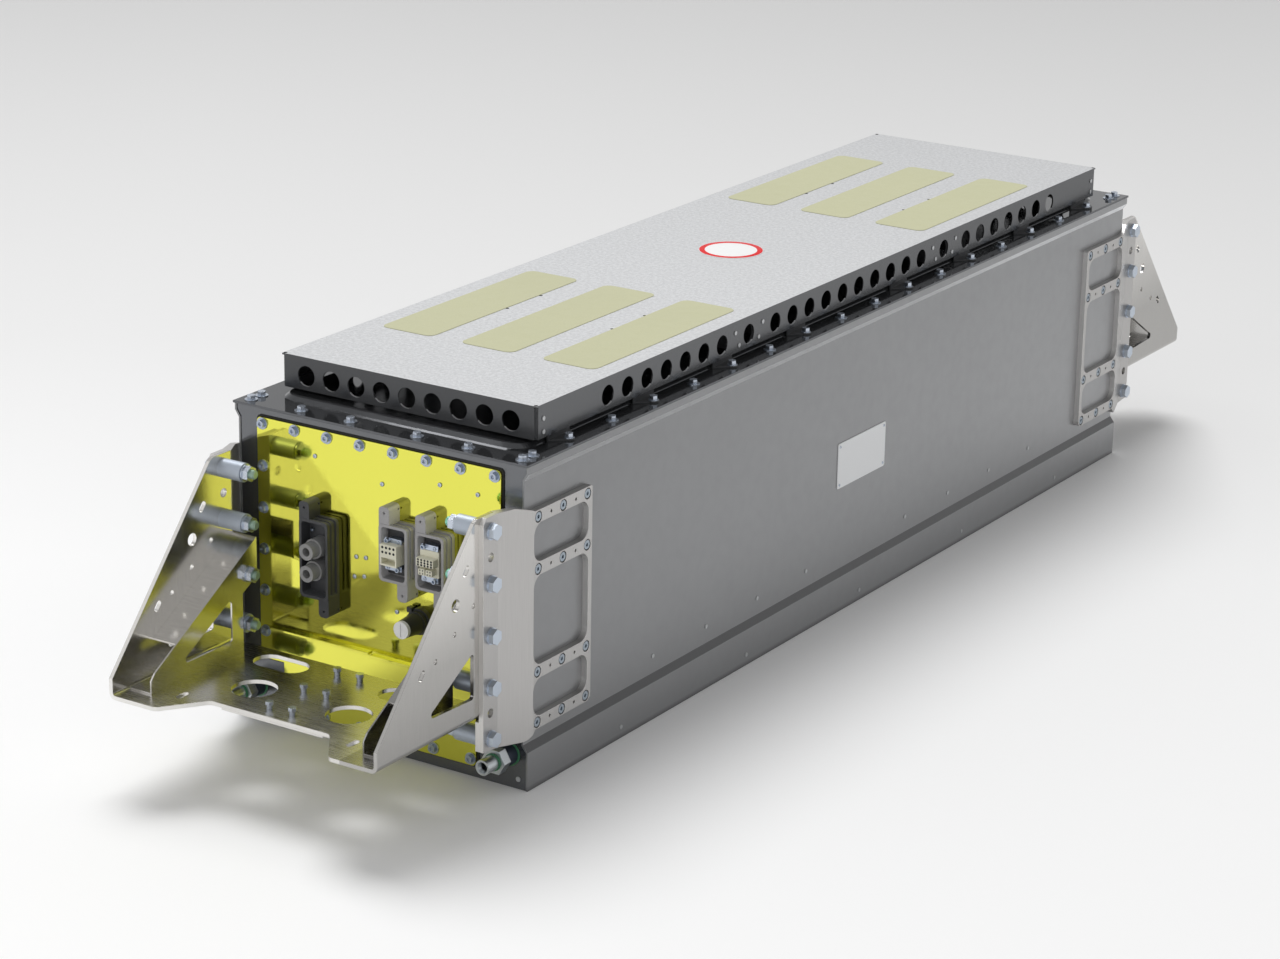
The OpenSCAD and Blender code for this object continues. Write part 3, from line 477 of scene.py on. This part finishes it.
def lathe(bm, profile, base, axis, seg):
    """Turn (radius, height) pairs about a unit axis through base; the last pair lies on the axis."""
    axis, base = Vector(axis), Vector(base)
    ref = Vector((1, 0, 0)) if axis.z else Vector((0, 0, 1))
    a = axis.cross(ref).normalized()
    b = axis.cross(a)
    turns = [2 * math.pi * i / seg for i in range(seg)]
    rings = [[bm.verts.new(base + axis * h + (a * math.cos(t) + b * math.sin(t)) * r) for t in turns]
             for r, h in profile[:-1]]
    tip = bm.verts.new(base + axis * profile[-1][1])
    for p, q in zip(rings, rings[1:]):
        join_rings(bm, p, q)
    last = rings[-1]
    for i in range(seg):
        bm.faces.new((last[i], last[(i + 1) % seg], tip))


def rounded(w, h, r):
    """The outline of a rounded rectangle about the origin."""
    steps = 6
    x, y = w / 2 - r, h / 2 - r
    pts = []
    for cx, cy, start in ((x, y, 0), (-x, y, 90), (-x, -y, 180), (x, -y, 270)):
        for i in range(steps + 1):
            a = math.radians(start + 90 * i / steps)
            pts.append((cx + r * math.cos(a), cy + r * math.sin(a)))
    return pts


def slab(bm, pts, place, t):
    """A plate with a small top chamfer. place maps (u, v, height) to the object's frame."""
    chamfer = 0.0003

    def ring(ku, kv, h):
        return [bm.verts.new(place(u * ku, v * kv, h)) for u, v in pts]
    w = max(abs(u) for u, _ in pts)
    d = max(abs(v) for _, v in pts)
    rings = [ring(1, 1, 0), ring(1, 1, t - chamfer), ring((w - chamfer) / w, (d - chamfer) / d, t)]
    for p, q in zip(rings, rings[1:]):
        join_rings(bm, p, q)
    bm.faces.new(rings[-1])
    bm.faces.new(list(reversed(rings[0])))


def screw_profile(r, h):
    """A round head with a blind socket."""
    return [(r, 0), (r, h * 0.45), (r * 0.86, h * 0.85), (r * 0.6, h), (r * 0.45, h), (r * 0.42, h * 0.4),
            (0, h * 0.4)]


def hole_shade_profile(r):
    """A thin black spot of painted shade that stands for a hole."""
    h = 0.0002
    return [(r, 0), (r, h), (0, h)]


def side_sign():
    """A bare plate on the right side sheet, with its four screws."""
    thick = 0.0016
    screw_y, screw_z = 0.083, 0.0375
    bm = bmesh.new()
    slab(bm, rounded(0.180, 0.089, 0.004),
         lambda u, v, h: Vector((SIDE_X + GAP + h, SIGN_Y + u, SIGN_Z + v)), thick)
    piece("side_sign_plate", bm, "sign")
    bm = bmesh.new()
    for sy in (-1, 1):
        for sz in (-1, 1):
            base = (SIDE_X + GAP + thick, SIGN_Y + sy * screw_y, SIGN_Z + sz * screw_z)
            lathe(bm, screw_profile(0.0028, 0.0012), base, (1, 0, 0), seg=20)
    piece("side_sign_screws", bm, "zinc")


def cover_disc():
    """A plain disc with a red rim on the cover."""
    r, thick = 0.061, 0.0005
    bm = bmesh.new()
    lathe(bm, [(r, 0), (r, thick - 0.0001), (r - 0.0003, thick), (0, thick)],
          (DISC_X, DISC_Y, COVER_TOP + GAP), (0, 0, 1), seg=96)
    piece("cover_disc", bm, "disc")


def panel_screws():
    """Small screws on the yellow panel, placed as in the photograph, in millimetres."""
    bm = bmesh.new()
    for x, z in ((-128, 504), (12, 482), (130, 504), (206, 502), (-43, 343), (-23, 345), (-26.5, 311),
                 (-47, 307), (41, 262.6)):
        lathe(bm, screw_profile(0.0042, 0.0022), (x / 1000, -HALF_LENGTH - GAP, z / 1000), OUTWARD, seg=24)
    piece("panel_small_screws", bm, "zinc")


def power_screws():
    """Screws on the floor of the power housing, placed from its middle, in millimetres."""
    housing_floor = 0.008
    bm = bmesh.new()
    for dx, dz in ((-17, 45), (18, 41), (18, -45)):
        base = (POWER_X + dx / 1000, -HALF_LENGTH - housing_floor - GAP, POWER_Z + dz / 1000)
        lathe(bm, screw_profile(0.0036, 0.006), base, OUTWARD, seg=24)
    piece("power_small_screws", bm, "zinc")


def signal_clamps():
    """Clamp plates above and below each contact block, each with a sleeved screw and a plain one."""
    clamp_y, clamp_t = -HALF_LENGTH - 0.027, 0.0026
    post_y, post_t = -HALF_LENGTH - 0.014, 0.0128
    block_half = (0.0186, 0.0231)
    clamp_rise = 0.0048
    sleeve_in = 0.0002
    sleeve = [(0.0044, 0), (0.0044, 0.0058), (0.0040, 0.0062), (0.0027, 0.0062), (0.0024, 0.0058),
              (0.0024, 0.002), (0, 0.002)]
    bm = bmesh.new()
    for cx, half in zip(SIGNAL_X, block_half):
        for side in (-1, 1):
            cz = SIGNAL_Z + side * (half + clamp_rise)
            slab(bm, rounded(0.034, 0.0095, 0.0015),
                 lambda u, v, h: Vector((cx + u, clamp_y - h, cz + v)), clamp_t)
            slab(bm, rounded(0.024, 0.0075, 0.001),
                 lambda u, v, h: Vector((cx + u, post_y - h, cz + v)), post_t)
            sleeve_base = (cx - side * 0.011, clamp_y - clamp_t + sleeve_in, cz + side * 0.0005)
            lathe(bm, sleeve, sleeve_base, OUTWARD, seg=24)
            screw_base = (cx + side * 0.010, clamp_y - clamp_t, cz)
            lathe(bm, screw_profile(0.0032, 0.0018), screw_base, OUTWARD, seg=20)
    piece("signal_clamps", bm, "clamp")


def contact_mouth_shade():
    """Painted shade: black spots for the mouths of the contact chambers, placed from each block's middle, in
    millimetres.
    """
    left, right = SIGNAL_X
    front, step = 0.0441, 0.0431
    mouths = [(left, front, -11.4 + 7.6 * i, 15.5 - 8.5 * j, 2.3) for i in range(4) for j in range(2)]
    mouths += [(right, front, 6.6 * i, 5 + 4.5 * j, 2.0) for i in range(-2, 3) for j in (-1, 0, 1)]
    mouths += [(right, step, s * 7.5 + 2.8 * i, -12 + 2.6 * j, 1.2)
               for s in (-1, 1) for i in (-1, 1) for j in (-1, 1)]
    bm = bmesh.new()
    for x, out, dx, dz, r in mouths:
        base = (x + dx / 1000, -HALF_LENGTH - out, SIGNAL_Z + dz / 1000)
        lathe(bm, hole_shade_profile(r / 1000), base, OUTWARD, seg=12)
    piece("contact_mouth_shade", bm, "black_rubber")


def rivet_hole_shade():
    """Painted shade: black spots for the rivet holes in the cover, half under the edges of the pads."""
    hole_x, hole_r = 0.1115, 0.0032
    bm = bmesh.new()
    for sx in (-1, 1):
        for y in (-0.5785, -0.4735, 0.4735, 0.5785):
            lathe(bm, hole_shade_profile(hole_r), (sx * hole_x, y, COVER_TOP + GAP / 2), (0, 0, 1), seg=20)
    piece("rivet_hole_shade", bm, "black_rubber")


side_sign()
cover_disc()
panel_screws()
power_screws()
signal_clamps()
contact_mouth_shade()
rivet_hole_shade()


# Stage

def floor():
    """A pale floor with painted light: painted whiter before the object and to its left, and painted greyer
    far behind it and to its right.
    """
    size, below = 80, -0.0005
    m = Mat("floor_pale", grey(0.86), 0.75, 0.0)
    place = m.xyz()
    # painted light: the tone falls off behind the object and toward its right
    behind = m.along(place, (-0.54, 0.84))
    to_right = m.along(place, (0.84, 0.54))
    tone = m.ramp(m.remap(behind, 0, 1, -2.0, 6.0),
                  [(0.0, grey(0.98)), (0.25, grey(0.97)), (0.44, grey(0.84)), (1.0, grey(0.62))])
    m.set_color(m.mix(m.remap(to_right, 0.0, 0.16, -1.5, 1.5), tone, grey(0.4)))
    m.socket("Specular IOR Level").default_value = 0.1
    s = size / 2
    me = bpy.data.meshes.new("floor")
    me.from_pydata([(-s, -s, below), (s, -s, below), (s, s, below), (-s, s, below)], [], [(0, 1, 2, 3)])
    me.materials.append(m.material)
    o = bpy.data.objects.new("floor", me)
    bpy.context.scene.collection.objects.link(o)


def studio():
    """Soft light from all round, brightest at the horizon."""
    world = bpy.data.worlds.new("studio")
    bpy.context.scene.world = world
    world.use_nodes = True
    tree = world.node_tree
    tree.nodes.clear()
    kinds = ("TexCoord", "SeparateXYZ", "ValToRGB", "Background", "OutputWorld")
    coord, split, ramp, background, out = (tree.nodes.new("ShaderNode" + kind) for kind in kinds)
    for a, b in ((coord.outputs["Generated"], split), (split.outputs["Z"], ramp),
                 (ramp.outputs[0], background), (background.outputs[0], out)):
        tree.links.new(a, b.inputs[0])
    set_stops(ramp, [(0.0, grey(0.95)), (0.15, grey(0.74)), (0.4, grey(0.5)), (1.0, grey(0.36))])
    background.inputs[1].default_value = 1.0


def sun(name, toward, strength, angle):
    d = bpy.data.lights.new(name, "SUN")
    d.energy = strength
    d.angle = math.radians(angle)
    o = bpy.data.objects.new(name, d)
    bpy.context.scene.collection.objects.link(o)
    o.rotation_euler = Vector(toward).to_track_quat("Z", "Y").to_euler()


def camera():
    """The photograph's camera, solved from the box's own straight edges."""
    focal_px, photo_width_px = 3497.729, 1280
    place = (3.327669, -5.496515, 2.342297)
    yaw, pitch, roll = (math.radians(v) for v in (32.663, 18.608, 0.966))
    data = bpy.data.cameras.new("camera")
    data.sensor_fit = "HORIZONTAL"
    data.sensor_width = 36.0
    data.lens = focal_px / photo_width_px * data.sensor_width
    data.clip_end = 200
    forward = Vector((-math.sin(yaw) * math.cos(pitch), math.cos(yaw) * math.cos(pitch), -math.sin(pitch)))
    level = Vector((math.cos(yaw), math.sin(yaw), 0))
    upright = level.cross(forward)
    right = level * math.cos(roll) + upright * math.sin(roll)
    up = -level * math.sin(roll) + upright * math.cos(roll)
    o = bpy.data.objects.new("camera", data)
    bpy.context.scene.collection.objects.link(o)
    o.matrix_world = Matrix.Translation(place) @ Matrix((right, up, -forward)).transposed().to_4x4()
    bpy.context.scene.camera = o


floor()
studio()
sun("key", (-0.36, 0.42, 0.95), 1.9, 34)
sun("fill", (-0.4, -0.9, 0.6), 0.3, 60)
camera()

bpy.context.scene.view_settings.view_transform = "Standard"
